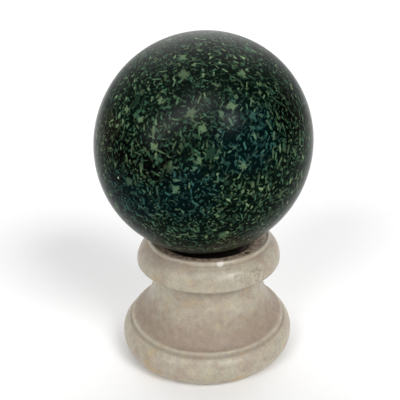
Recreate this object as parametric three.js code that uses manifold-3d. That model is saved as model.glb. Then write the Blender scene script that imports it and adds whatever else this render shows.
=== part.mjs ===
// A polished porphyry ball that rests loosely in the hollow of a turned marble socle.
// Millimetres, +Z up. The origin is the centre of the socle's underside, straight below the ball.

import * as THREE from 'three';
import { mergeVertices } from 'three/addons/utils/BufferGeometryUtils.js';
import Module from 'manifold-3d';

const wasm = await Module();
wasm.setup();

// ---- Ball: ground by hand, so it is a little longer along one axis ----
const BALL_RADIUS = 59.4;
const BALL_LONG_RADIUS = 61.1;
const BALL_LONG_AXIS_TILT = 30; // degrees from upright, towards +X
const BALL_SEGMENTS = 56; // round the long axis; half as many from pole to pole

// ---- Socle, from the foot up. Radii are from its own axis, heights from the floor ----
const SOCLE_SEGMENTS = 56;
const LEAN = 0.033; // sideways step of the axis, towards +X, for each millimetre of height

// Foot: a full half-round that stands on its flat underside.
const FOOT_FLAT_RADIUS = 42;
const FOOT_BULGE = 9.7;
const FOOT_HALF_HEIGHT = 10.4;

// Fillet: a narrow step on the foot, below the hollow moulding.
const FILLET_RADIUS = 46.2;
const FILLET_TOP = 22.1;
const FILLET_WIDTH = 1.3;
const FILLET_EASE = 0.4; // its worn upper edge

// Scotia: the hollow moulding that draws in from the fillet to the neck.
const NECK_RADIUS = 31;
const NECK_HEIGHT = 55.3;
const SCOTIA_FULLNESS = 1.6; // 1 would be a plain cone, 2 a quarter ellipse

// Cap: a cushion, flatter below its widest ring than above it.
const CAP_RADIUS = 42.2;
const CAP_WIDEST_HEIGHT = 58.9;
const CAP_CROWN_RADIUS = 29.5; // where the upper curve would come level
const CAP_CROWN_HEIGHT = 13;

// Lip: a small bead that stands round the seat.
const LIP_RADIUS = 36;
const LIP_WIDTH = 2.9;
const LIP_HEIGHT = 3.5;

// Seat: a ledge inside the lip, a sunk floor, and the ball's hollow ground into that floor.
const LEDGE_OUTER_HEIGHT = 72.9;
const LEDGE_INNER_HEIGHT = 72.6;
const WELL_RADIUS = 29;
const WELL_FLOOR_RADIUS = 26.6;
const WELL_FLOOR_HEIGHT = 69.4;
const BALL_SINK = 2.1; // how far the ball dips below the well's floor
const SEAT_GAP = 0.3;

const BALL_HEIGHT = WELL_FLOOR_HEIGHT - BALL_SINK + ballHalfHeight(); // of its centre

/** Distance from the tilted ball's centre down to its lowest point. */
function ballHalfHeight() {
  const tilt = THREE.MathUtils.degToRad(BALL_LONG_AXIS_TILT);
  return Math.hypot(BALL_LONG_RADIUS * Math.cos(tilt), BALL_RADIUS * Math.sin(tilt));
}

/** Point of a profile, as radius and height. */
function at(radius, height) {
  return new THREE.Vector2(radius, height);
}

/** Points of an elliptical arc about (radius, height). Angles are in degrees, 0 outwards and 90 up. */
function arc(radius, height, wide, high, fromAngle, toAngle, steps) {
  return Array.from({ length: steps + 1 }, (_, step) => {
    const angle = THREE.MathUtils.degToRad(fromAngle + ((toAngle - fromAngle) * step) / steps);
    return at(radius + wide * Math.cos(angle), height + high * Math.sin(angle));
  });
}

/** Angle, in degrees, at which an ellipse of this half-width reaches a given distance from its centre. */
function angleAt(distance, wide) {
  return THREE.MathUtils.radToDeg(Math.acos(distance / wide));
}

/** The foot's half-round, up to the fillet's face. */
function footProfile() {
  const meetsFillet = angleAt(FILLET_RADIUS - FOOT_FLAT_RADIUS, FOOT_BULGE);
  return arc(FOOT_FLAT_RADIUS, FOOT_HALF_HEIGHT, FOOT_BULGE, FOOT_HALF_HEIGHT, -90, meetsFillet, 12);
}

/** The fillet's face, its eased edge and the start of the hollow moulding. */
function filletProfile() {
  return [
    at(FILLET_RADIUS, FILLET_TOP - FILLET_EASE),
    at(FILLET_RADIUS - FILLET_EASE, FILLET_TOP),
  ];
}

/** The scotia: a superellipse that leaves the fillet level and reaches the neck upright. */
function scotiaProfile() {
  const steps = 9;
  const footRadius = FILLET_RADIUS - FILLET_WIDTH;
  return Array.from({ length: steps + 1 }, (_, step) => {
    const angle = (Math.PI / 2) * (1 - step / steps);
    const inward = Math.cos(angle) ** (2 / SCOTIA_FULLNESS);
    const downward = Math.sin(angle) ** (2 / SCOTIA_FULLNESS);
    return at(
      footRadius - (footRadius - NECK_RADIUS) * inward,
      NECK_HEIGHT - (NECK_HEIGHT - FILLET_TOP) * downward,
    );
  });
}

/** The cap: out from the neck to its widest ring, then up and in to the lip. */
function capProfile() {
  const overhang = CAP_RADIUS - NECK_RADIUS;
  const underside = CAP_WIDEST_HEIGHT - NECK_HEIGHT;
  const shoulder = CAP_RADIUS - CAP_CROWN_RADIUS;
  const meetsLip = angleAt(LIP_RADIUS - CAP_CROWN_RADIUS, shoulder);
  const below = arc(NECK_RADIUS, CAP_WIDEST_HEIGHT, overhang, underside, -75, -15, 4);
  const above = arc(CAP_CROWN_RADIUS, CAP_WIDEST_HEIGHT, shoulder, CAP_CROWN_HEIGHT, 0, meetsLip, 7);
  return [...below, ...above];
}

/** The lip's bead, from its foot on the cap round to the ledge behind it. */
function lipProfile(capTop) {
  const halfWidth = LIP_WIDTH / 2;
  const halfHeight = LIP_HEIGHT / 2;
  return arc(LIP_RADIUS - halfWidth, capTop + halfHeight, halfWidth, halfHeight, -40, 160, 7);
}

/** The seat: ledge, sloping wall and floor, in to the axis. */
function seatProfile() {
  return [
    at(LIP_RADIUS - LIP_WIDTH, LEDGE_OUTER_HEIGHT),
    at(WELL_RADIUS, LEDGE_INNER_HEIGHT),
    at(WELL_FLOOR_RADIUS, WELL_FLOOR_HEIGHT),
    at(0, WELL_FLOOR_HEIGHT),
  ];
}

/** Turns a geometry made round Y so that its axis stands along +Z. */
function standUp(geometry) {
  return geometry.rotateX(Math.PI / 2);
}

/** A closed geometry as a solid that can be cut. */
function toSolid(geometry) {
  const bare = geometry.clone();
  bare.deleteAttribute('normal');
  bare.deleteAttribute('uv');
  const merged = mergeVertices(bare, 1e-4);
  return new wasm.Manifold(new wasm.Mesh({
    numProp: 3,
    vertProperties: new Float32Array(merged.attributes.position.array),
    triVerts: new Uint32Array(merged.index.array),
  }));
}

/** A cut solid as a geometry again. */
function toGeometry(solid) {
  const { vertProperties, triVerts } = solid.getMesh();
  const geometry = new THREE.BufferGeometry();
  geometry.setAttribute('position', new THREE.BufferAttribute(vertProperties, 3));
  geometry.setIndex(new THREE.BufferAttribute(triVerts, 1));
  geometry.computeVertexNormals();
  return geometry;
}

/** The ball's shape, grown all round by a gap. */
function ballShape(gap) {
  const radius = BALL_RADIUS + gap;
  const stretch = (BALL_LONG_RADIUS + gap) / radius;
  const ball = standUp(new THREE.SphereGeometry(radius, BALL_SEGMENTS, BALL_SEGMENTS / 2));
  ball.scale(1, 1, stretch);
  ball.rotateY(THREE.MathUtils.degToRad(BALL_LONG_AXIS_TILT));
  return ball.translate(0, 0, BALL_HEIGHT);
}

/** The socle: turned profile, leaning a little, with the ball's hollow ground straight down into it. */
function socleShape() {
  const cap = capProfile();
  const profile = [
    at(0, 0),
    ...footProfile(),
    ...filletProfile(),
    ...scotiaProfile(),
    ...cap,
    ...lipProfile(cap.at(-1).y),
    ...seatProfile(),
  ];
  const turned = standUp(new THREE.LatheGeometry(profile, SOCLE_SEGMENTS));
  turned.applyMatrix4(new THREE.Matrix4().makeShear(0, 0, 0, 0, LEAN, 0));
  const hollow = toSolid(ballShape(SEAT_GAP));
  return toGeometry(toSolid(turned).subtract(hollow));
}

function piece(name, geometry, material) {
  const mesh = new THREE.Mesh(geometry, new THREE.MeshStandardMaterial(material));
  mesh.name = name;
  return mesh;
}

const ornament = new THREE.Group();
ornament.add(
  piece('stone_ball', ballShape(0), { color: 0x16241a, roughness: 0.3, metalness: 0 }),
  piece('marble_socle', socleShape(), { color: 0xb5a998, roughness: 0.45, metalness: 0 }),
);

export default ornament;
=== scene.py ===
from functools import reduce
import math
from operator import add

import bpy
import numpy as np
from mathutils import Matrix, Quaternion, Vector


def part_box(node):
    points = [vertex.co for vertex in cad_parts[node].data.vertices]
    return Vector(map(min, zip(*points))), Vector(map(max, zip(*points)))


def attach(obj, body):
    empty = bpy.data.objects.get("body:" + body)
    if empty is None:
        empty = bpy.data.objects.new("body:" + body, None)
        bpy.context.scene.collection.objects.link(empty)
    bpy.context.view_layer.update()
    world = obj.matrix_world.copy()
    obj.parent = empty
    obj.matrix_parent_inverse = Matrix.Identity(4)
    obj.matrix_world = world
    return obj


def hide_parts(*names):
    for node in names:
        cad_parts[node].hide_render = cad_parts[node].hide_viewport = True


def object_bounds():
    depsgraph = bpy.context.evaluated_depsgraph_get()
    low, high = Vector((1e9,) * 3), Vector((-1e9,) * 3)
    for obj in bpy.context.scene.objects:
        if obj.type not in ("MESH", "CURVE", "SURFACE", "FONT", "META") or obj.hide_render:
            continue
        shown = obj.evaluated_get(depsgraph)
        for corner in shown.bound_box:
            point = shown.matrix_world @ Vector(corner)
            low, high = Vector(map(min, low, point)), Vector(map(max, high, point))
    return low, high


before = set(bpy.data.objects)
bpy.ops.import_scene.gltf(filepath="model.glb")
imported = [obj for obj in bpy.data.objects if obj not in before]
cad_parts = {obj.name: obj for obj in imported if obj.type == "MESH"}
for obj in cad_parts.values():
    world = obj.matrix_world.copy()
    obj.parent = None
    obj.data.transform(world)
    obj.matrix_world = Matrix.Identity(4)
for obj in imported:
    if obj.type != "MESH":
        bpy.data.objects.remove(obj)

bl_info = {
    "name": "Porphyry Ball on a Marble Socle",
    "version": (1, 0, 0),
    "blender": (4, 5, 0),
    "location": "View3D > Sidebar > Ornament",
    "description": "Finishes a polished porphyry ball and its turned marble socle",
    "category": "Add Mesh",
}

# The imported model. The ball's place and radii, the foot's radius and the camera's aim come from it.
CAD_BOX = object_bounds()
BALL_LOW, BALL_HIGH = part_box("stone_ball")
SOCLE_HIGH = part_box("marble_socle")[1]
BALL_CENTRE = (BALL_LOW + BALL_HIGH) / 2
BODY = "root"
MM = 0.001

# ---- Ball: an ellipsoid, whose two radii follow from its box and the tilt of its long axis ----
LONG_AXIS_TILT = math.radians(30)
SHORT_RADIUS = (BALL_HIGH.y - BALL_LOW.y) / 2
LONG_RADIUS = math.sqrt(
    ((BALL_HIGH.z - BALL_LOW.z) ** 2 / 4 - (SHORT_RADIUS * math.sin(LONG_AXIS_TILT)) ** 2)
) / math.cos(LONG_AXIS_TILT)

# ---- Socle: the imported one's profile again. Heights are from the floor, radii from its own leaning axis ----
LEAN = 0.033
FOOT_RADIUS = SOCLE_HIGH.y
FOOT_BULGE = 9.7 * MM
FOOT_HALF_HEIGHT = 10.4 * MM
FILLET_RADIUS = 46.2 * MM
FILLET_TOP = 22.1 * MM
FILLET_WIDTH = 1.3 * MM
FILLET_EASE = 0.4 * MM
NECK_RADIUS = 31 * MM
NECK_HEIGHT = 55.3 * MM
SCOTIA_FULLNESS = 1.6
CAP_RADIUS = 42.2 * MM
CAP_WIDEST_HEIGHT = 58.9 * MM
CAP_CROWN_RADIUS = 29.5 * MM
CAP_CROWN_HEIGHT = 13 * MM
LIP_RADIUS = 36 * MM
LIP_WIDTH = 2.9 * MM
LIP_HEIGHT = 3.5 * MM
LEDGE_OUTER_HEIGHT = 72.9 * MM
LEDGE_INNER_HEIGHT = 72.6 * MM
WELL_RADIUS = 29 * MM
WELL_FLOOR_RADIUS = 26.6 * MM
WELL_FLOOR_HEIGHT = 69.4 * MM
SEAT_GAP = 0.3 * MM

# ---- How the meshes are laid out: rings from bottom to top, and points round each ring ----
BALL_RINGS, BALL_AROUND = 199, 400
SOCLE_RINGS, SOCLE_AROUND = 250, 390
RING_SHARES = (0.05, 0.89, 0.06)  # of the socle's rings: underside, where it shows, the well's floor
POLE_RADIUS = 0.4 * MM  # of the socle's first and last ring
ARC_STEP = 0.4 * MM
SCOTIA_POINTS = 90
FAR_HEIGHT = 1.0  # stands for the hollow's height where a vertical misses it

# ---- The ledge inside the lip, which runs further in at the right ----
LEDGE_GROWTH = 3.4 * MM
LEDGE_GROWTH_SIDE = math.radians(15)  # round from +X

# ---- Wear and painted shade of the socle. A band lies along its outline: the moulding that it is measured from, how far past
# that moulding's start its middle is, its width, and its strength or share ----
# The creases hold dirt and painted shade: the groove below the fillet, the corner under the cap, and the lip's
# foot.
CREASES = (
    ("fillet", -2.4 * MM, 1.2 * MM, 1.0),
    ("cap_underside", 1.0 * MM, 2.5 * MM, 0.7),
    ("lip", 0.0, 1.1 * MM, 0.75),
)
WORN_EDGES = (
    ("scotia", -0.6 * MM, 1.3 * MM, 1.0),
    ("ledge", -2.6 * MM, 2.0 * MM, 1.0),
)
DENT_BANDS = (
    ("scotia", 0.0, 0.8 * MM, 0.3),
    ("ledge", -2.0 * MM, 1.5 * MM, 0.25),
    ("cap", 6.0 * MM, 6.0 * MM, 0.2),
    ("foot", 14.0 * MM, 9.0 * MM, 0.25),
)
DENT_COUNT = 150
DENT_REACH = (0.6, 1.3)  # millimetres, least and most
DENT_DEPTH = (0.08, 0.28)  # millimetres, least and most


# ---------------------------------------------------------------- surfaces

def ripple(points, seed, wavelength, count=24):
    """A smooth random field, nearly all of it from -1 to 1: the sum of sine waves of about one wavelength,
    each with its own direction and phase, over the root of their number and over 1.6. It has no seams."""
    rng = np.random.default_rng(seed)
    directions = rng.normal(size=(count, 3))
    directions /= np.linalg.norm(directions, axis=1)[:, None]
    lengths = wavelength * rng.uniform(0.7, 1.5, count)
    phases = rng.uniform(0, 2 * math.pi, count)
    waves = np.sin(points @ (directions / lengths[:, None]).T * 2 * math.pi + phases)
    return waves.sum(axis=1) / math.sqrt(count) / 1.6


def ring_faces(rings, around):
    """Faces of a closed shell: a fan at the first point, bands of quads between the rings, and a fan at the
    last point."""
    step = np.arange(around)
    after = (step + 1) % around
    first = 1 + step
    bottom = np.stack([np.zeros(around, int), 1 + after, first], axis=1)
    last_ring = 1 + (rings - 1) * around
    top = np.stack([np.full(around, last_ring + around), last_ring + step, last_ring + after], axis=1)
    low = (1 + np.arange(rings - 1)[:, None] * around + step).ravel()
    low_after = (1 + np.arange(rings - 1)[:, None] * around + after).ravel()
    bands = np.stack([low, low_after, low_after + around, low + around], axis=1)
    return bottom, bands, top


def shell_object(name, points, rings, around, fields=None):
    """A closed shell as an object: the lowest pole, rings of points from the bottom up, and the highest
    pole."""
    bottom, bands, top = ring_faces(rings, around)
    mesh = bpy.data.meshes.new(name)
    mesh.from_pydata(points.tolist(), [], bottom.tolist() + bands.tolist() + top.tolist())
    mesh.polygons.foreach_set("use_smooth", np.ones(len(mesh.polygons), bool))
    for field, values in (fields or {}).items():
        attribute = mesh.attributes.new(field, "FLOAT", "POINT")
        attribute.data.foreach_set("value", values.astype(np.float32))
    mesh.update()
    shell = bpy.data.objects.new(name, mesh)
    bpy.context.scene.collection.objects.link(shell)
    return shell


def ball_points(rings, around, unevenness):
    """The ball: a sphere of directions stretched along one tilted axis, with every point then drawn in by
    up to the unevenness of hand grinding. Rings run from the lower pole to the upper one."""
    polar = np.linspace(math.pi, 0, rings + 2)[1:-1]
    turn = np.linspace(0, 2 * math.pi, around, endpoint=False)
    polar_grid, turn_grid = np.meshgrid(polar, turn, indexing="ij")
    directions = np.stack([
        np.sin(polar_grid) * np.cos(turn_grid),
        np.sin(polar_grid) * np.sin(turn_grid),
        np.cos(polar_grid),
    ], axis=-1).reshape(-1, 3)
    directions = np.vstack([[0, 0, -1], directions, [0, 0, 1]])
    grinding = 0.5 + 0.5 * ripple(directions * LONG_RADIUS, seed=11, wavelength=45 * MM)
    shape = directions * np.array([SHORT_RADIUS, SHORT_RADIUS, LONG_RADIUS])
    shape *= (1 - unevenness / SHORT_RADIUS * np.clip(grinding, 0, 1))[:, None]
    tilt = np.array(Matrix.Rotation(LONG_AXIS_TILT, 3, "Y"))
    return shape @ tilt.T + np.array(BALL_CENTRE)


def ellipse_arc(radius, height, wide, high, start, end):
    """Points of an elliptical arc about (radius, height), about one ARC_STEP apart. Angles are in degrees, 0
    outwards and 90 up."""
    sweep = math.radians(end - start)
    steps = max(3, int(abs(sweep) * max(wide, high) / ARC_STEP))
    angle = math.radians(start) + np.linspace(0, sweep, steps)
    return np.stack([radius + wide * np.cos(angle), height + high * np.sin(angle)], axis=1)


def scotia_points():
    """The hollow moulding: a superellipse that leaves the fillet level and reaches the neck upright."""
    angle = np.linspace(math.pi / 2, 0, SCOTIA_POINTS)
    foot_radius = FILLET_RADIUS - FILLET_WIDTH
    return np.stack([
        foot_radius - (foot_radius - NECK_RADIUS) * np.cos(angle) ** (2 / SCOTIA_FULLNESS),
        NECK_HEIGHT - (NECK_HEIGHT - FILLET_TOP) * np.sin(angle) ** (2 / SCOTIA_FULLNESS),
    ], axis=1)


def cap_points():
    """The cap's two arcs: out from the neck to its widest ring, then up and in to the lip."""
    overhang = CAP_RADIUS - NECK_RADIUS
    underside = CAP_WIDEST_HEIGHT - NECK_HEIGHT
    shoulder = CAP_RADIUS - CAP_CROWN_RADIUS
    meets_lip = math.degrees(math.acos((LIP_RADIUS - CAP_CROWN_RADIUS) / shoulder))
    below = ellipse_arc(NECK_RADIUS, CAP_WIDEST_HEIGHT, overhang, underside, -75, 0)
    above = ellipse_arc(CAP_CROWN_RADIUS, CAP_WIDEST_HEIGHT, shoulder, CAP_CROWN_HEIGHT, 0, meets_lip)
    return below, above[1:]


def lip_points(cap_top):
    """The lip's bead, from its foot on the cap round to the ledge behind it."""
    half_width, half_height = LIP_WIDTH / 2, LIP_HEIGHT / 2
    return ellipse_arc(LIP_RADIUS - half_width, cap_top + half_height, half_width, half_height, -40, 160)


def socle_profile():
    """The turned outline, as radius and height from the underside's centre to the seat's, and which of its
    points each moulding starts at."""
    foot_centre = FOOT_RADIUS - FOOT_BULGE
    meets_fillet = math.degrees(math.acos((FILLET_RADIUS - foot_centre) / FOOT_BULGE))
    below, above = cap_points()
    parts = {
        "underside": np.array([[POLE_RADIUS, 0]]),
        "foot": ellipse_arc(
            foot_centre, FOOT_HALF_HEIGHT, FOOT_BULGE, FOOT_HALF_HEIGHT, -90, meets_fillet),
        "fillet": np.array([
            [FILLET_RADIUS, FILLET_TOP - FILLET_EASE],
            [FILLET_RADIUS - FILLET_EASE, FILLET_TOP],
        ]),
        "scotia": scotia_points(),
        "cap_underside": below,
        "cap": above,
        "lip": lip_points(above[-1, 1]),
        "ledge": np.array([
            [LIP_RADIUS - LIP_WIDTH, LEDGE_OUTER_HEIGHT],
            [WELL_RADIUS, LEDGE_INNER_HEIGHT],
        ]),
        "well": np.array([
            [WELL_FLOOR_RADIUS, WELL_FLOOR_HEIGHT],
            [POLE_RADIUS, WELL_FLOOR_HEIGHT],
        ]),
    }
    outline = np.vstack(list(parts.values()))
    starts = dict(zip(parts, np.cumsum([0] + [len(part) for part in parts.values()])[:-1]))
    return outline, starts


def spaced(outline, starts, rings):
    """The outline again with the wanted number of points, close together where it shows and far apart on the
    flat underside and the well's floor. Gives each point's distance along it and each moulding's start
    too."""
    gaps = np.linalg.norm(np.diff(outline, axis=0), axis=1)
    along = np.concatenate([[0], np.cumsum(gaps)])
    shown_from, shown_to = along[starts["foot"]], along[starts["well"]]
    knots = np.array([0, shown_from, shown_to + 2 * MM, along[-1]])
    share = np.cumsum([0, *RING_SHARES])
    distance = np.interp(np.linspace(0, 1, rings), share, knots)
    points = np.stack([np.interp(distance, along, outline[:, axis]) for axis in (0, 1)], axis=1)
    marks = {name: along[index] for name, index in starts.items()}
    return points, distance, marks


def softened(points, passes):
    """The same points after some passes that each move every point to the mean of itself, counted twice, and
    its two neighbours. That eases sharp edges."""
    for _ in range(passes):
        points = points.copy()
        points[1:-1] = (points[:-2] + 2 * points[1:-1] + points[2:]) / 4
    return points


def bump_at(distance, centre, width):
    """A bell curve of a given width about a distance along the outline."""
    return np.exp(-((distance - centre) / width) ** 2)


def ramp(values, start, end):
    """0 up to start, 1 from end on, and an even S curve between them."""
    share = np.clip((values - start) / (end - start), 0, 1)
    return share * share * (3 - 2 * share)


def band_strength(distance, marks, bands):
    """The sum of some bands' bell curves at each distance along the outline."""
    return sum(
        strength * bump_at(distance, marks[moulding] + past, width)
        for moulding, past, width, strength in bands)


def wear_and_shade_fields(distance, marks, around):
    """How much each kind of wear and painted shade shows at every point, from 0 to 1: dirt and painted shade in
    the creases, soil that thins out up the scotia and gathers a little below the lip, worn edges, the ledge's
    dirt and the well's painted shadow."""
    scotia, lip = marks["scotia"], marks["lip"]
    up_scotia = (1 - ramp(distance, scotia, scotia + 27 * MM)) * (distance > scotia)
    below_lip = bump_at(distance, lip, 4 * MM) * (distance < lip)
    fields = {
        # Dirt and painted shade in the creases.
        "grime": band_strength(distance, marks, CREASES),
        "soil": up_scotia + below_lip * 0.35,
        "edge": band_strength(distance, marks, WORN_EDGES),
        "ledge": ramp(distance, marks["ledge"] - 0.8 * MM, marks["ledge"] + 0.6 * MM),
        # The well's field carries its painted shadow.
        "well": ramp(distance, marks["well"], marks["well"] + 1.2 * MM),
    }
    at_top = {"ledge": 1, "well": 1}
    return {
        name: np.clip(np.concatenate([[0], np.repeat(field, around), [at_top.get(name, 0)]]), 0, 1)
        for name, field in fields.items()
    }


def dents(shell, distance, marks, around):
    """Depth of the chips and pits at each point: round dips at random places, most of them on the edges."""
    rng = np.random.default_rng(23)
    middles = np.array([marks[moulding] + past for moulding, past, _, _ in DENT_BANDS])
    spreads = np.array([spread for _, _, spread, _ in DENT_BANDS])
    band = rng.choice(len(DENT_BANDS), DENT_COUNT, p=[share for _, _, _, share in DENT_BANDS])
    ring = np.searchsorted(distance, middles[band] + rng.normal(size=DENT_COUNT) * spreads[band])
    centres = shell[ring * around + rng.integers(0, around, DENT_COUNT)]
    reaches = rng.uniform(*DENT_REACH, DENT_COUNT) * MM
    depths = rng.uniform(*DENT_DEPTH, DENT_COUNT) * MM
    deepest = np.zeros(len(shell))
    for centre, reach, depth in zip(centres, reaches, depths):
        dip = depth * np.exp(-((shell - centre) ** 2).sum(axis=1) / reach ** 2)
        deepest = np.maximum(deepest, dip)
    return deepest


def hand_turning(shell, unevenness):
    """How far in the stone strays at each point: long waves, and short ones a quarter as deep."""
    long_waves = np.clip(0.5 + 0.5 * ripple(shell, seed=5, wavelength=22 * MM), 0, 1)
    short_waves = np.clip(0.5 + 0.5 * ripple(shell, seed=6, wavelength=5 * MM), 0, 1)
    return unevenness * long_waves + unevenness * 0.25 * short_waves


def outward(points):
    """The outline's unit normals out of the stone: its slope at each point, turned by a right angle."""
    slope = np.gradient(points, axis=0)
    normals = np.stack([slope[:, 1], -slope[:, 0]], axis=1)
    return normals / np.linalg.norm(normals, axis=1)[:, None]


def hollow_height(points):
    """Height of the ball's hollow above each point's place on the floor: the lower root of the tilted, grown
    ellipsoid's equation along the vertical, or a far height where the vertical misses it."""
    upright = np.array(Matrix.Rotation(-LONG_AXIS_TILT, 3, "Y"))
    radii = np.array([SHORT_RADIUS, SHORT_RADIUS, LONG_RADIUS]) + SEAT_GAP
    across = points - np.array(BALL_CENTRE)
    across[:, 2] = 0
    start = across @ upright.T / radii
    rise = np.array([0, 0, 1]) @ upright.T / radii
    a = rise @ rise
    b = start @ rise
    c = (start ** 2).sum(axis=1) - 1
    inside = b * b - a * c
    lower = BALL_CENTRE.z + (-b - np.sqrt(np.maximum(inside, 0))) / a
    return np.where(inside > 0, lower, FAR_HEIGHT)


def socle_points(rings, around, unevenness):
    """The socle: its outline turned about the axis, drawn in along its normals by hand turning and by dents,
    sheared by the lean, and with the ball's hollow sunk into the seat. At the right the ledge runs in as far
    as the ball. Gives the fields of its wear and painted shade too."""
    points, distance, marks = spaced(*socle_profile(), rings)
    points = softened(points, passes=2)
    points[:, 1] = np.maximum(points[:, 1], 0)
    turn = np.tile(np.linspace(0, 2 * math.pi, around, endpoint=False), rings)
    radius, height = (np.repeat(points[:, axis], around) for axis in (0, 1))
    out, up = (np.repeat(outward(points)[:, axis], around) for axis in (0, 1))
    at_right = ramp(np.cos(turn - LEDGE_GROWTH_SIDE), 0.3, 0.75)
    on_ledge = ramp(np.repeat(distance, around), marks["ledge"], marks["well"])
    radius *= 1 - LEDGE_GROWTH / WELL_RADIUS * (at_right * on_ledge)
    shell = np.stack([radius * np.cos(turn), radius * np.sin(turn), height], axis=1)
    drawn_in = hand_turning(shell, unevenness) + dents(shell, distance, marks, around)
    # The flat underside and the middle of the seat stay true.
    drawn_in *= ramp(height, 0, 1.5 * MM) * ramp(radius, 20 * MM, 24 * MM)
    shell -= drawn_in[:, None] * np.stack([out * np.cos(turn), out * np.sin(turn), up], axis=1)
    shell = np.vstack([[0, 0, 0], shell, [0, 0, WELL_FLOOR_HEIGHT]])
    shell[:, 0] += LEAN * shell[:, 2]
    seat = shell[:, 2] > WELL_FLOOR_HEIGHT - 1 * MM
    shell[seat, 2] = np.minimum(shell[seat, 2], hollow_height(shell[seat]))
    return shell, wear_and_shade_fields(distance, marks, around)


# ---------------------------------------------------------------- shader maths

class Value:
    """A socket with the operators of arithmetic. Each one adds a Math node, so a shader reads as a
    formula."""

    def __init__(self, shader, socket):
        self.shader = shader
        self.socket = socket

    def _math(self, operation, *inputs):
        return self.shader.add("ShaderNodeMath", {"operation": operation}, dict(enumerate(inputs)))

    def __add__(self, other):
        return self._math("ADD", self, other)

    def __sub__(self, other):
        return self._math("SUBTRACT", self, other)

    def __mul__(self, other):
        return self._math("MULTIPLY", self, other)

    def __rsub__(self, other):
        return self._math("SUBTRACT", other, self)

    __radd__ = __add__
    __rmul__ = __mul__

    def least(self, other):
        return self._math("MINIMUM", self, other)

    def most(self, other):
        return self._math("MAXIMUM", self, other)

    def step(self, start, end):
        """0 up to start, 1 from end on, and an even S curve between them."""
        return self.shader.add(
            "ShaderNodeMapRange",
            {"interpolation_type": "SMOOTHSTEP"},
            {"Value": self, "From Min": start, "From Max": end})


class Shader:
    """The node tree of a material or a world. add() makes one node of any type: first its settings are set,
    then its sockets."""

    def __init__(self, owner):
        owner.use_nodes = True
        self.owner = owner
        self.tree = owner.node_tree
        self.tree.nodes.clear()
        self.place = self.add("ShaderNodeTexCoord", output="Object")

    def add(self, kind, settings=None, values=None, output=0):
        node = self.tree.nodes.new(kind)
        for name, setting in (settings or {}).items():
            setattr(node, name, setting)
        for name, value in (values or {}).items():
            if isinstance(value, Value):
                self.tree.links.new(value.socket, node.inputs[name])
            else:
                node.inputs[name].default_value = value
        return Value(self, node.outputs[output])

    def outputs(self, kind, settings, values):
        """The same, for a node whose every output is wanted."""
        first = self.add(kind, settings, values)
        return [Value(self, socket) for socket in first.socket.node.outputs]

    def rotated(self, vector, angles):
        return self.add(
            "ShaderNodeVectorRotate", {"rotation_type": "EULER_XYZ"}, {"Vector": vector, "Rotation": angles})

    def vector(self, operation, *inputs, output=0):
        return self.add("ShaderNodeVectorMath", {"operation": operation}, dict(enumerate(inputs)), output)

    def scaled(self, vector, factor):
        return self.add("ShaderNodeVectorMath", {"operation": "SCALE"}, {0: vector, "Scale": factor})

    def parts(self, vector):
        return self.outputs("ShaderNodeSeparateXYZ", {}, {0: vector})

    def noise(self, size, detail=3.0, roughness=0.5, place=None, output=0):
        """Cloudy noise whose patches are about `size` metres across."""
        values = {
            "Vector": place or self.place, "Scale": 1 / size, "Detail": detail, "Roughness": roughness}
        return self.add("ShaderNodeTexNoise", {}, values, output)

    def mix(self, factor, first, second):
        """first where factor is 0, second where it is 1. Both are colours, which go into the node's inputs 6
        and 7 and come out of its output 2."""
        values = {0: factor}
        for index, colour in ((6, first), (7, second)):
            values[index] = colour if isinstance(colour, Value) else (*colour, 1)
        return self.add("ShaderNodeMix", {"data_type": "RGBA"}, values, 2)

    def finish(self, values, surface="ShaderNodeBsdfPrincipled", output="ShaderNodeOutputMaterial"):
        end = self.tree.nodes.new(output)
        self.tree.links.new(self.add(surface, {}, values).socket, end.inputs["Surface"])
        return self.owner


def box_depth(shader, offset, half_sizes, crossed):
    """How far inside a box about the origin a point lies: 1 at the centre, 0 on its faces. A crossed box is
    three of them through one centre, one along each axis, whose cut shows as a star."""
    away = shader.vector("ABSOLUTE", offset)
    depth = None
    for turn in range(3 if crossed else 1):
        sizes = tuple(half_sizes[turn:]) + tuple(half_sizes[:turn])
        x, y, z = shader.parts(shader.vector("DIVIDE", away, sizes))
        one = 1 - x.most(y).most(z)
        depth = one if depth is None else depth.most(one)
    return depth


def crystals(shader, place, cell, half_sizes, lie, stretch, crossed):
    """Box-shaped crystals, one in each cell of a random 3-D honeycomb. The honeycomb is drawn out by
    `stretch` along its own third axis, which `lie` turns, so that long crystals fit, and each crystal then
    leans its own way. Gives how far inside its crystal a point lies and the cell's random colour."""
    drawn = (1.0, 1.0, stretch)
    local = shader.rotated(place, lie)
    kind = {"voronoi_dimensions": "3D", "feature": "F1"}
    cells = {"Vector": shader.vector("DIVIDE", local, drawn), "Scale": 1 / cell, "Randomness": 1.0}
    _, chance, centre = shader.outputs("ShaderNodeTexVoronoi", kind, cells)[:3]
    offset = shader.vector("SUBTRACT", local, shader.vector("MULTIPLY", centre, drawn))
    lean = (1.3, 1.3, 2 * math.pi) if stretch > 1 else (5.0, 5.0, 5.0)
    angles = shader.vector("MULTIPLY", shader.vector("SUBTRACT", chance, (0.5, 0.5, 0.5)), lean)
    return box_depth(shader, shader.rotated(offset, angles), half_sizes, crossed), chance


def star_depth(shader, place, azimuth, elevation, spin, arm):
    """How far inside a star of crystals that lies in the ball's surface a point is: 1 at the middle, 0 at
    the edge. It is a cross of two bars with a smaller one half a right angle on. With m the larger and n the
    smaller distance from the cross's own axes, a bar is the larger of m over its length and n over its
    width."""
    facing = heading(azimuth, elevation).to_track_quat("Z", "Y") @ Quaternion((0, 0, 1), spin)
    offset = shader.vector("SUBTRACT", place, tuple(on_ball(azimuth, elevation)))
    local = shader.rotated(offset, tuple(facing.inverted().to_euler()))
    x, y, z = shader.parts(shader.vector("ABSOLUTE", local))
    larger, smaller, width = x.most(y), x.least(y), arm * 0.2
    cross = (larger * (1 / arm)).most(smaller * (1 / width))
    between = ((larger + smaller) * (1 / arm)).most((larger - smaller) * (0.8 / width))
    return 1 - cross.least(between).most(z * (1 / arm))


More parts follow.
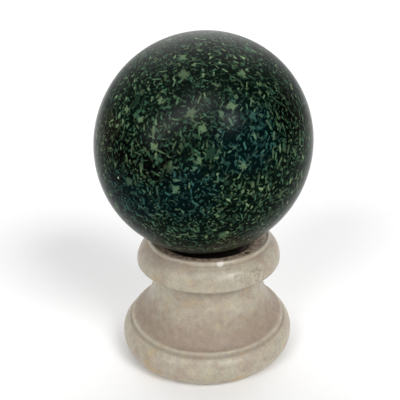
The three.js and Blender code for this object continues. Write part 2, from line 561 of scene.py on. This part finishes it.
def near(shader, centre, reach, softness):
    """A mask: 1 within `reach` of a point, fading out over `softness`."""
    away = shader.vector("DISTANCE", shader.place, tuple(centre), output="Value")
    return 1 - away.step(reach, reach + softness)


def heading(azimuth, elevation):
    """The direction at these angles in degrees, from the front towards the right and from level upwards."""
    across, up = math.radians(azimuth), math.radians(elevation)
    return Vector((math.sin(across) * math.cos(up), -math.cos(across) * math.cos(up), math.sin(up)))


def on_ball(azimuth, elevation):
    """The point of the ball's surface seen from its centre in one direction: 1 over the root of how far the
    direction lies along the long axis and across it, each squared and divided by that radius squared."""
    direction = heading(azimuth, elevation)
    along = direction.dot(Vector((math.sin(LONG_AXIS_TILT), 0, math.cos(LONG_AXIS_TILT)))) ** 2
    return BALL_CENTRE + direction / math.sqrt(along / LONG_RADIUS ** 2 + (1 - along) / SHORT_RADIUS ** 2)


# ---------------------------------------------------------------- settings

def colour_setting(name, description, default):
    return bpy.props.FloatVectorProperty(
        name=name, description=description, default=default, size=3, min=0, max=1, subtype="COLOR")


def length_setting(name, description, default):
    return bpy.props.FloatProperty(
        name=name, description=description, default=default, min=0, unit="LENGTH", precision=5)


def factor_setting(name, description, default, top=1.0):
    return bpy.props.FloatProperty(
        name=name, description=description, default=default, min=0, max=top, subtype="FACTOR")


class ORNAMENT_PG_ball(bpy.types.PropertyGroup):
    ground: colour_setting("Ground", "The stone between the crystals", (0.0006, 0.0036, 0.0022))
    ground_blue: colour_setting("Bluish Ground", "The ground's cooler zones", (0.0003, 0.0042, 0.0046))
    ground_brown: colour_setting("Brown Ground", "The ground's rusty patches", (0.012, 0.009, 0.004))
    crystal: colour_setting("Crystal", "Most of the crystals", (0.030, 0.076, 0.043))
    crystal_blue: colour_setting("Bluish Crystal", "Crystals in the cooler zones", (0.020, 0.068, 0.057))
    crystal_light: colour_setting("Light Crystal", "The palest crystals and clusters", (0.14, 0.21, 0.105))
    crystal_length: length_setting("Crystal Length", "Half-length of the common crystals", 2.45 * MM)
    crystal_width: length_setting("Crystal Width", "Half-width of the common crystals", 0.92 * MM)
    crystal_thickness: length_setting("Crystal Thickness", "Half-thickness of the common crystals", 0.46 * MM)
    roughness: factor_setting("Roughness", "Softness of the polish", 0.27)
    unevenness: length_setting("Unevenness", "How far hand grinding strays from the true shape", 0.12 * MM)


class ORNAMENT_PG_socle(bpy.types.PropertyGroup):
    marble: colour_setting("Marble", "The marble's main colour", (0.395, 0.343, 0.272))
    marble_cool: colour_setting("Cool Marble", "Its greener, paler clouds", (0.405, 0.37, 0.29))
    marble_warm: colour_setting("Warm Marble", "Its pinkish brown clouds", (0.355, 0.28, 0.216))
    stain: colour_setting("Stain", "Yellow stains near the foot and on the cap", (0.41, 0.30, 0.14))
    soil: colour_setting("Soil", "Ingrained dirt where dust settles", (0.272, 0.206, 0.155))
    # Colour of the creases' dirt and painted shade, and of the pits' and the ledge's dirt.
    grime: colour_setting("Grime", "Dirt held in the creases", (0.12, 0.084, 0.056))
    roughness: factor_setting("Roughness", "Softness of the worn polish", 0.42)
    unevenness: length_setting("Unevenness", "How far hand turning strays from the true shape", 0.25 * MM)


class ORNAMENT_PG_stage(bpy.types.PropertyGroup):
    lens: bpy.props.FloatProperty(
        name="Lens", description="Focal length on a 36 mm sensor", default=58.5, min=10, max=300)
    distance: length_setting("Distance", "From the camera to the object's middle", 0.3708)
    elevation: bpy.props.FloatProperty(
        name="Elevation", description="The camera's angle above the object's middle",
        default=math.radians(24.15), subtype="ANGLE")
    roll: bpy.props.FloatProperty(
        name="Roll", description="The camera's turn about its own line of sight",
        default=math.radians(-1.2), subtype="ANGLE")
    sideways: length_setting("Sideways", "How far to the left of the middle the camera aims", 2.4 * MM)
    right_light: factor_setting("Right Light", "Strength of the soft light in front at the right", 1.92, 10.0)
    left_light: factor_setting("Left Light", "Strength of the soft light in front at the left", 1.36, 10.0)
    right_sheen: bpy.props.FloatProperty(
        name="Right Sheen", description="Power of the square light for sheen",
        default=14.0, min=0, unit="POWER")
    left_sheen: bpy.props.FloatProperty(
        name="Left Sheen", description="Power of the strip light for sheen",
        default=20.0, min=0, unit="POWER")
    behind: factor_setting("Behind", "Brightness of the room behind the object", 1.9, 4.0)
    room: factor_setting("Room", "Brightness of the rest of the room", 0.1, 2.0)


# ---------------------------------------------------------------- materials

# Layers of crystals: size of a cell in metres, how far it is drawn out, size of a crystal as a share of the
# common one, brightness, and the angles of the layer's grain in radians. The last layer holds scattered
# clusters.
LAYERS = (
    (1.9 * MM, 1.9, 0.70, 0.75, (0.0, 0.6, 0.0)),
    (1.9 * MM, 1.9, 0.75, 0.90, (0.5, -0.7, 0.0)),
    (2.7 * MM, 2.0, 1.00, 0.90, (0.6, 0.9, 0.0)),
    (2.8 * MM, 2.0, 1.05, 1.00, (0.0, -0.45, 0.0)),
    (3.7 * MM, 2.0, 1.30, 1.05, (-0.4, 0.1, 0.0)),
    (16.0 * MM, 1, 1.40, 0.95, (0.8, 0.3, 2.2)),
)

# The largest clusters on the side that faces front: azimuth and elevation in degrees, half-length of an arm
# in millimetres, and how yellow.
CLUSTERS = (
    (16, 35, 3.0, 0.9),
    (-18, 62, 2.6, 0.8),
    (10, 32, 2.0, 0.5),
    (27, 30, 2.8, 0.1),
    (0, 26, 2.7, 0.8),
    (-24, 17, 2.8, 1.0),
    (-2, 12, 2.6, 0.6),
    (18, 8, 2.8, 0.7),
    (-13, -2, 2.9, 0.6),
    (-46, 31, 2.3, 1.0),
    (-25, 38, 2.4, 0.9),
    (-34, 28, 2.1, 0.9),
)
CLUSTER_TURN = 1.1  # radians that each of them is turned on from the one before

# Zones of the ball: azimuth and elevation in degrees, then reach and softness in millimetres.
COOL_ZONES = ((22, 22, 8, 20), (-8, -5, 8, 18), (-42, -12, 8, 16))
DARK_ZONES = ((-45, 8, 7, 12), (-22, 10, 5, 11), (54, 25, 6, 12))
SCUFFED_STONE = (0.13, 0.15, 0.135)
CHIPPED_STONE = (0.5, 0.55, 0.5)


def ball_zone(shader, azimuth, elevation, reach, softness):
    """A mask round a point of the ball's surface. Lengths are in millimetres."""
    return near(shader, on_ball(azimuth, elevation), reach * MM, softness * MM)


def porphyry_tints(s, settings):
    """Colours of the ground and of the common crystals, and where the stone is cool and where it is dark."""
    clouds = s.noise(22 * MM, detail=3)
    cool = reduce(add, (ball_zone(s, *zone) for zone in COOL_ZONES))
    cool = (cool + (clouds - 0.5) * 1.6).step(0.15, 1.0)
    rust = ball_zone(s, -58, 18, 4, 12) + ball_zone(s, 15, -45, 8, 14) * 0.7
    rust = (rust * 0.6 + s.noise(8 * MM, detail=4) - 0.55).step(0.1, 0.4)

    ground = s.mix(cool, tuple(settings.ground), tuple(settings.ground_blue))
    dark = reduce(add, (ball_zone(s, *zone) for zone in DARK_ZONES))
    dark = (dark + (0.5 - clouds) * 1.2).most(0).least(1)
    ground = s.scaled(ground, 1 - dark * 0.85)
    ground = s.mix(rust * (1 - dark) * 0.7, ground, tuple(settings.ground_brown))
    common = s.mix(cool, tuple(settings.crystal), tuple(settings.crystal_blue))
    rusty = s.mix(0.5, tuple(settings.ground_brown), tuple(settings.crystal_light))
    return ground, s.mix(rust * 0.6, common, rusty), cool, dark


def with_crystals(s, settings, colour, common, cool, dark, fading_low_down, place, body):
    """A colour with every layer of crystals over it. They are fainter low on the ball and where it is dark."""
    long, wide, thin = settings.crystal_length, settings.crystal_width, settings.crystal_thickness
    for cell, stretch, size, strength, lie in LAYERS:
        crossed = stretch == 1
        half_sizes = tuple(half * size for half in (wide if crossed else thin, wide, long))
        depth, chance = crystals(s, place, cell, half_sizes, lie, stretch, crossed)
        pick, bright, keep = s.parts(chance)
        lightness = pick.step(0.45, 1.0) * (0.85 - cool * 0.45)
        tint = s.mix(lightness, common, tuple(settings.crystal_light))
        shade = (bright * bright * 1.2 + 0.39) * strength
        tint = s.scaled(tint, shade * (body * 0.8 + 0.6))
        mask = depth.step(0.0, 0.5) * keep.step(0.08, 0.25)
        colour = s.mix(mask * (0.95 - fading_low_down * 0.5 - dark * 0.25), colour, tint)
    return colour


def with_clusters(s, settings, colour, common, place, body):
    """A colour with the placed clusters over it. Their masks are joined first, so that one mix does for
    all of them."""
    depth, tone = None, None
    for index, (azimuth, elevation, arm, yellow) in enumerate(CLUSTERS):
        star = star_depth(s, place, azimuth, elevation, CLUSTER_TURN * index, arm * MM).step(0.0, 0.35)
        depth = star if depth is None else depth.most(star)
        tone = star * yellow if tone is None else tone.most(star * yellow)
    tint = s.mix(tone * 0.8, common, tuple(settings.crystal_light))
    return s.mix(depth * 0.95, colour, s.scaled(tint, body * 0.9 + 0.52))


def porphyry_shine(s):
    """Weight of the polish: it grows with the fourth power of the surface's slant, and is a little higher
    where the ball is most handled."""
    slant = s.add("ShaderNodeLayerWeight", {}, {"Blend": 0.5}, output="Facing")
    worn = ball_zone(s, -14, 33, 10, 24) * (s.noise(9 * MM, detail=4) * 1.4 + 0.3)
    worn = worn + ball_zone(s, 0, 68, 14, 24) * 1.8
    return (slant * slant * slant * slant * 1.2 + worn * 0.12 + 0.02).least(1)


def porphyry_material(settings):
    """Near-black stone, cooler in the middle and low down, rusty at the left, crowded with green crystals."""
    s = Shader(bpy.data.materials.new("green_porphyry"))
    wander = s.noise(2.5 * MM, detail=2, output="Color")
    wander = s.vector("SUBTRACT", wander, (0.5, 0.5, 0.5))
    uneven = s.vector("ADD", s.place, s.scaled(wander, 0.9 * MM))
    ragged = s.vector("ADD", s.place, s.scaled(wander, 3.2 * MM))

    ground, common, cool, dark = porphyry_tints(s, settings)
    # Crystals fade towards the bottom of the ball.
    fading_low_down = 1 - s.parts(s.place)[2].step(78 * MM, 106 * MM)
    haze = s.noise(1.6 * MM, detail=3, roughness=0.7).step(0.38, 0.75)
    colour = s.mix(haze * (1 - dark * 0.8) * 0.05, ground, common)
    body = s.noise(0.9 * MM, detail=2)
    colour = with_crystals(s, settings, colour, common, cool, dark, fading_low_down, uneven, body)
    colour = with_clusters(s, settings, colour, common, ragged, body)
    scuffs = s.noise(0.7 * MM, detail=2).step(0.6, 0.75) * ball_zone(s, -12, 34, 8, 18)
    colour = s.mix(scuffs * 0.3, colour, SCUFFED_STONE)
    colour = s.mix(ball_zone(s, -45, -2, 0.35, 0.3) * 0.8, colour, CHIPPED_STONE)

    shine = porphyry_shine(s)
    relief = s.noise(0.6 * MM, detail=3)
    normal = s.add("ShaderNodeBump", {}, {"Height": relief, "Strength": 0.05, "Distance": 0.2 * MM})
    return s.finish({
        "Base Color": colour, "Roughness": 0.6, "Normal": normal, "Specular IOR Level": 0.0,
        "Coat Weight": shine, "Coat Roughness": settings.roughness, "Coat IOR": 1.5,
    })


# Stains of the socle: azimuth in degrees, then radius, height, reach and softness in millimetres, then
# strength.
STAINS = (
    (-38, 50, 6, 3, 12, 1.0),
    (20, 50, 4, 2, 7, 1.0),
    (-46, 41, 59, 2, 7, 0.8),
    (34, 38, 51, 2, 8, 0.7),
)
PALE_FLECK = (0.55, 0.50, 0.38)
# Near-black: the painted shadow in the well under the ball, and one dark spot on the ledge.
WELL_SHADOW_AND_SPOT = (0.006, 0.004, 0.003)
# Colour of a painted highlight on the lip.
LIP_HIGHLIGHT_WHITE = (0.75, 0.73, 0.68)


def socle_spot(shader, azimuth, radius, height, reach, softness):
    """A mask round a point of the socle, at an azimuth in degrees from the front towards the right. Lengths
    are in millimetres."""
    across = math.radians(azimuth)
    place = (math.sin(across) * radius + LEAN * height, -math.cos(across) * radius, height)
    return near(shader, Vector(place) * MM, reach * MM, softness * MM)


def marble_body(s, settings, clouds, veils, mottle, grain):
    """The clean marble: cool and warm clouds, yellow patches, and a fine grain."""
    colour = s.mix(clouds.step(0.42, 0.6), tuple(settings.marble), tuple(settings.marble_cool))
    colour = s.mix(veils.step(0.48, 0.68) * 0.75, colour, tuple(settings.marble_warm))
    yellow = (mottle * 0.5 + s.noise(11 * MM, detail=3) * 0.6).step(0.56, 0.72)
    colour = s.mix(yellow * 0.4, colour, tuple(settings.stain))
    return s.scaled(colour, grain * 0.65 + mottle * 0.75 + 0.3)


def with_stains_and_height_shade(s, settings, colour, height, veils):
    """A colour stained low down and at a few marks, with painted light and shade by height: a little paler at
    the foot and darker from the neck up."""
    low = 1 - height.step(1 * MM, 9 * MM)
    marks = reduce(add, (socle_spot(s, *spot) * strength for *spot, strength in STAINS))
    stained = (low * 0.35 + marks * 0.6 + (veils - 0.5) * 1.2).step(0.3, 0.9)
    colour = s.mix(stained * 0.6, colour, tuple(settings.stain))
    # Painted light and shade by height: paler at the foot, darker from the neck up.
    shade = 1.06 - height.step(4 * MM, 16 * MM) * 0.06 - height.step(46 * MM, 52 * MM) * 0.02
    return s.scaled(colour, shade)


def with_seat(s, settings, colour, ledge, well, elsewhere):
    """A colour with the seat's marks over it: brown dirt on the ledge, a near-black painted shadow in the well,
    and a near-black spot.
    """
    rust = s.noise(2.2 * MM, detail=4, place=elsewhere).step(0.44, 0.6)
    brown = s.mix(rust, s.scaled(tuple(settings.soil), 1.5), s.scaled(tuple(settings.grime), 1.2))
    colour = s.mix(ledge * 0.9, colour, brown)
    spot = socle_spot(s, 40, 31.6, 72.8, 0.8, 0.9)
    # The well is painted near-black as the shadow under the ball; the spot is a dark mark on the ledge.
    return s.mix(spot.most(well) * 0.97, colour, WELL_SHADOW_AND_SPOT)


def marble_material(settings):
    """Warm, cloudy marble with a worn polish: stains low down, dirt and painted shade in the creases, dirt on
    the ledge, a painted shadow in the well, a painted highlight on the lip, painted light and shade by height,
    flecks, pits and a few marks of its own."""
    s = Shader(bpy.data.materials.new("socle_marble"))
    grime, soil, edge, ledge, well = (
        s.add("ShaderNodeAttribute", {"attribute_name": name}, output="Fac")
        for name in ("grime", "soil", "edge", "ledge", "well"))
    height = s.parts(s.place)[2]
    elsewhere = s.vector("ADD", s.place, (0.3, 0.1, 0.7))
    clouds = s.noise(16 * MM, detail=4, roughness=0.55)
    veils = s.noise(8 * MM, detail=5, roughness=0.6, place=elsewhere)
    mottle = s.noise(3.4 * MM, detail=4, roughness=0.6, place=elsewhere)
    grain = s.noise(0.9 * MM, detail=3, roughness=0.7)
    colour = marble_body(s, settings, clouds, veils, mottle, grain)

    soiled = (soil * 1.15 + (veils - 0.5) * 0.9 * soil.step(0.0, 0.4)).least(1).most(0)
    soil_colour = s.scaled(tuple(settings.soil), grain * 0.6 + mottle * 0.7 + 0.35)
    colour = s.mix(soiled * 0.85, colour, soil_colour)
    colour = with_stains_and_height_shade(s, settings, colour, height, veils)
    # The creases darkened: dirt, and painted shade in the grooves and under the cap.
    crease_dirt_and_shade = (grime * 1.1 + (mottle - 0.5) * 0.9 * grime.step(0.02, 0.4)).step(0.05, 1.0)
    colour = s.mix(crease_dirt_and_shade * 0.35, colour, tuple(settings.grime))
    pocked = socle_spot(s, 39, 41, 61, 4, 6) * 0.13
    flecks = s.noise(1.7 * MM, detail=3, place=elsewhere)
    pits = (flecks + pocked).step(0.63, 0.74)
    pale = (1 - flecks + pocked).step(0.64, 0.76)
    colour = s.mix(pits * 0.45, colour, tuple(settings.grime))
    colour = s.mix(pale * 0.4, colour, PALE_FLECK)
    colour = s.mix(edge * 0.4, colour, s.scaled(tuple(settings.marble), 0.9 + mottle * 0.4))
    colour = with_seat(s, settings, colour, ledge, well, elsewhere)
    # A painted highlight on the lip's bead.
    painted_lip_highlight = socle_spot(s, 9, 35.9, 72.6, 1.1, 1.6)
    colour = s.mix(painted_lip_highlight * 0.75, colour, LIP_HIGHLIGHT_WHITE)

    rubbed = socle_spot(s, 12, 35.8, 72.5, 2, 4) + socle_spot(s, 20, 42, 62, 3, 8) * 0.4
    roughness = settings.roughness + soiled * 0.12 + crease_dirt_and_shade * 0.25 - edge * 0.14
    roughness = roughness - rubbed * 0.2 + (veils - 0.5) * 0.2
    relief = grain * 0.4 - pits * 1.2 + pale * 0.4 + mottle * 1.2
    normal = s.add("ShaderNodeBump", {}, {"Height": relief, "Strength": 0.4, "Distance": 0.15 * MM})
    return s.finish({
        "Base Color": colour, "Roughness": roughness, "Normal": normal, "IOR": 1.5,
        "Specular IOR Level": 0.4, "Subsurface Weight": 0.15, "Subsurface Radius": (1.0, 0.7, 0.45),
        "Subsurface Scale": 1.2 * MM,
    })


# ---------------------------------------------------------------- operators

class ORNAMENT_OT_ball(bpy.types.Operator):
    """Make the polished porphyry ball"""
    bl_idname = "ornament.ball"
    bl_label = "Porphyry Ball"

    def execute(self, context):
        settings = context.scene.ornament_ball
        points = ball_points(BALL_RINGS, BALL_AROUND, settings.unevenness)
        ball = shell_object("porphyry_ball", points, BALL_RINGS, BALL_AROUND)
        ball.data.materials.append(porphyry_material(settings))
        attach(ball, BODY)
        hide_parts("stone_ball")
        return {"FINISHED"}


class ORNAMENT_OT_socle(bpy.types.Operator):
    """Make the turned marble socle"""
    bl_idname = "ornament.socle"
    bl_label = "Marble Socle"

    def execute(self, context):
        settings = context.scene.ornament_socle
        points, fields = socle_points(SOCLE_RINGS, SOCLE_AROUND, settings.unevenness)
        socle = shell_object("socle", points, SOCLE_RINGS, SOCLE_AROUND, fields)
        socle.data.materials.append(marble_material(settings))
        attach(socle, BODY)
        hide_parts("marble_socle")
        return {"FINISHED"}


class ORNAMENT_OT_stage(bpy.types.Operator):
    """Make the pale floor, the soft light and the camera"""
    bl_idname = "ornament.stage"
    bl_label = "Stage"

    def execute(self, context):
        settings = context.scene.ornament_stage
        make_floor()
        make_room(settings)
        make_lights(settings)
        make_camera(context, settings)
        return {"FINISHED"}


FLOOR_HALF_WIDTH = 4.0

# Broad suns, which light the object: name, azimuth and elevation in degrees.
SUNS = (("right_light", 42, 39), ("left_light", -36, 34))
SUN_ANGLE = math.radians(28)

# Lights that only add sheen: name, azimuth, elevation and twist in degrees, then length and width in metres.
SHEENS = (("right_sheen", 35, 37, 0, 0.3, 0.3), ("left_sheen", -32, 42, 42, 2.2, 0.36))
LIGHT_DISTANCE = 1.5
LIGHT_AIM = Vector((0, 0, 0.1))


def make_floor():
    """A wide white table top."""
    half = FLOOR_HALF_WIDTH
    mesh = bpy.data.meshes.new("floor")
    corners = [(-half, -half, 0), (half, -half, 0), (half, half, 0), (-half, half, 0)]
    mesh.from_pydata(corners, [], [(0, 1, 2, 3)])
    floor = bpy.data.objects.new("floor", mesh)
    bpy.context.scene.collection.objects.link(floor)
    s = Shader(bpy.data.materials.new("white_floor"))
    mesh.materials.append(s.finish({
        "Base Color": (0.94, 0.94, 0.94, 1), "Roughness": 0.9, "Specular IOR Level": 0.1}))


def make_room(settings):
    """A dim room that is bright behind and upwards, and that looks white itself from every side."""
    s = Shader(bpy.data.worlds.new("studio"))
    _, back, up = s.parts(s.add("ShaderNodeTexCoord", output="Generated"))
    brightness = back.step(0.0, 0.7) * up.step(-0.35, 0.7) * (settings.behind - settings.room)
    brightness = brightness + settings.room
    seen = s.add("ShaderNodeLightPath", output="Is Camera Ray")
    bpy.context.scene.world = s.finish(
        {"Color": (1, 1, 1, 1), "Strength": brightness * (1 - seen) + seen},
        "ShaderNodeBackground", "ShaderNodeOutputWorld")


def make_lights(settings):
    """Two broad soft lights in front, and beside each a smaller one that only adds sheen: a square at the
    right and a slanted strip at the left."""
    for name, azimuth, elevation in SUNS:
        lamp = add_light(name, "SUN", getattr(settings, name), azimuth, elevation, angle=SUN_ANGLE)
        lamp.visible_glossy = False
    for name, azimuth, elevation, twist, length, width in SHEENS:
        lamp = add_light(
            name, "AREA", getattr(settings, name), azimuth, elevation, twist,
            shape="RECTANGLE", size=length, size_y=width)
        lamp.visible_diffuse = False


def add_light(name, kind, strength, azimuth, elevation, twist=0.0, **shape):
    """A light at a direction from the object, in degrees, that faces it."""
    light = bpy.data.lights.new(name, kind)
    light.energy = strength
    for field, value in shape.items():
        setattr(light, field, value)
    lamp = bpy.data.objects.new(name, light)
    toward = heading(azimuth, elevation)
    turn = toward.to_track_quat("Z", "Y").to_matrix().to_4x4()
    place = Matrix.Translation(toward * LIGHT_DISTANCE + LIGHT_AIM)
    lamp.matrix_world = place @ turn @ Matrix.Rotation(math.radians(twist), 4, "Z")
    bpy.context.scene.collection.objects.link(lamp)
    return lamp


def make_camera(context, settings):
    """A camera that looks slightly down, just to the left of the object's middle."""
    low, high = CAD_BOX
    aim = (low + high) / 2 - Vector((settings.sideways, 0, 0))
    back = Vector((0, -math.cos(settings.elevation), math.sin(settings.elevation)))
    camera = bpy.data.objects.new("camera", bpy.data.cameras.new("camera"))
    camera.data.lens = settings.lens
    camera.data.sensor_width = 36
    camera.data.clip_start = 0.01
    place = Vector(((low.x + high.x) / 2, aim.y, aim.z)) + back * settings.distance
    look = (aim - place).to_track_quat("-Z", "Y").to_matrix().to_4x4()
    camera.matrix_world = Matrix.Translation(place) @ look @ Matrix.Rotation(settings.roll, 4, "Z")
    context.scene.collection.objects.link(camera)
    context.scene.camera = camera
    context.scene.view_settings.view_transform = "Standard"


class ORNAMENT_PT_panel(bpy.types.Panel):
    bl_label = "Ornament"
    bl_idname = "ORNAMENT_PT_panel"
    bl_space_type = "VIEW_3D"
    bl_region_type = "UI"
    bl_category = "Ornament"

    def draw(self, context):
        for name in SETTINGS:
            settings = getattr(context.scene, name)
            box = self.layout.box()
            for field in settings.__annotations__:
                box.prop(settings, field)
            box.operator(name.replace("_", "."))


SETTINGS = {
    "ornament_ball": ORNAMENT_PG_ball,
    "ornament_socle": ORNAMENT_PG_socle,
    "ornament_stage": ORNAMENT_PG_stage,
}
CLASSES = (
    *SETTINGS.values(), ORNAMENT_OT_ball, ORNAMENT_OT_socle, ORNAMENT_OT_stage, ORNAMENT_PT_panel,
)


def register():
    for cls in CLASSES:
        bpy.utils.register_class(cls)
    for name, group in SETTINGS.items():
        setattr(bpy.types.Scene, name, bpy.props.PointerProperty(type=group))


def unregister():
    for name in SETTINGS:
        delattr(bpy.types.Scene, name)
    for cls in reversed(CLASSES):
        bpy.utils.unregister_class(cls)


def main():
    register()
    bpy.ops.ornament.stage()
    bpy.ops.ornament.ball()
    bpy.ops.ornament.socle()


if __name__ == "__main__":
    main()
